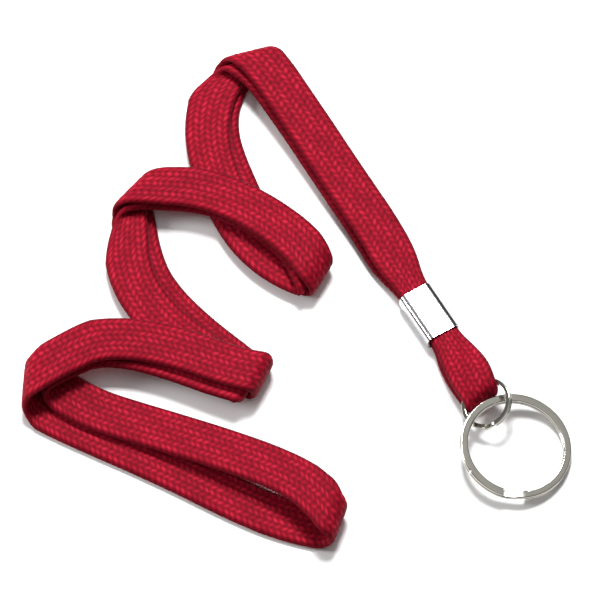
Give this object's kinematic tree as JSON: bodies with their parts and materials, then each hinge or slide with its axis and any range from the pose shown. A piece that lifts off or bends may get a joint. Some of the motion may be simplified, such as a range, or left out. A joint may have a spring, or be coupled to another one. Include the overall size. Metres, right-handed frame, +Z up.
{
  "type": "lanyard",
  "caption": "Neck lanyard of flat tubular braid, doubled and crimped to a short hanger loop with a small split ring and a key ring, lying in a loose flattened coil.",
  "frame": {"origin": "under the middle of the hardware (crimp, hanger loop and both rings), on the surface it lies on", "axes": "+Z up from the surface; the hardware runs from the crimp at -X +Y to the key ring at +X -Y; the strap lies in a coil on the -X side"},
  "size_m": [0.1237, 0.1266, 0.0091],
  "materials": {
    "braid": "matt crimson polyester braid",
    "crimp_metal": "bright nickel plate",
    "ring_metal": "bright nickel plate"
  },
  "bodies": {
    "strap": {"crimp": "crimp_metal", "hanger_loop": "braid", "strap_outer_strand": "braid", "strap_inner_strand": "braid"},
    "small_ring": {"small_split_ring": "ring_metal"},
    "large_ring": {"large_split_ring": "ring_metal"}
  },
  "joints": [
    {"name": "small_ring_swing", "type": "hinge", "parent": "strap", "child": "small_ring", "pos_m": [-0.00275, 0.00041, 0.0039], "axis": [0.7501, 0.5251, 0.4021], "range_deg": [-75, 75], "deforming": ["hanger_loop"]},
    {"name": "large_ring_swing", "type": "hinge", "parent": "small_ring", "child": "large_ring", "pos_m": [0.0007, -0.0048, 0.0047], "axis": [0.8433, 0.5234, -0.1222], "range_deg": [-85, 85], "deforming": ["hanger_loop"]}
  ]
}
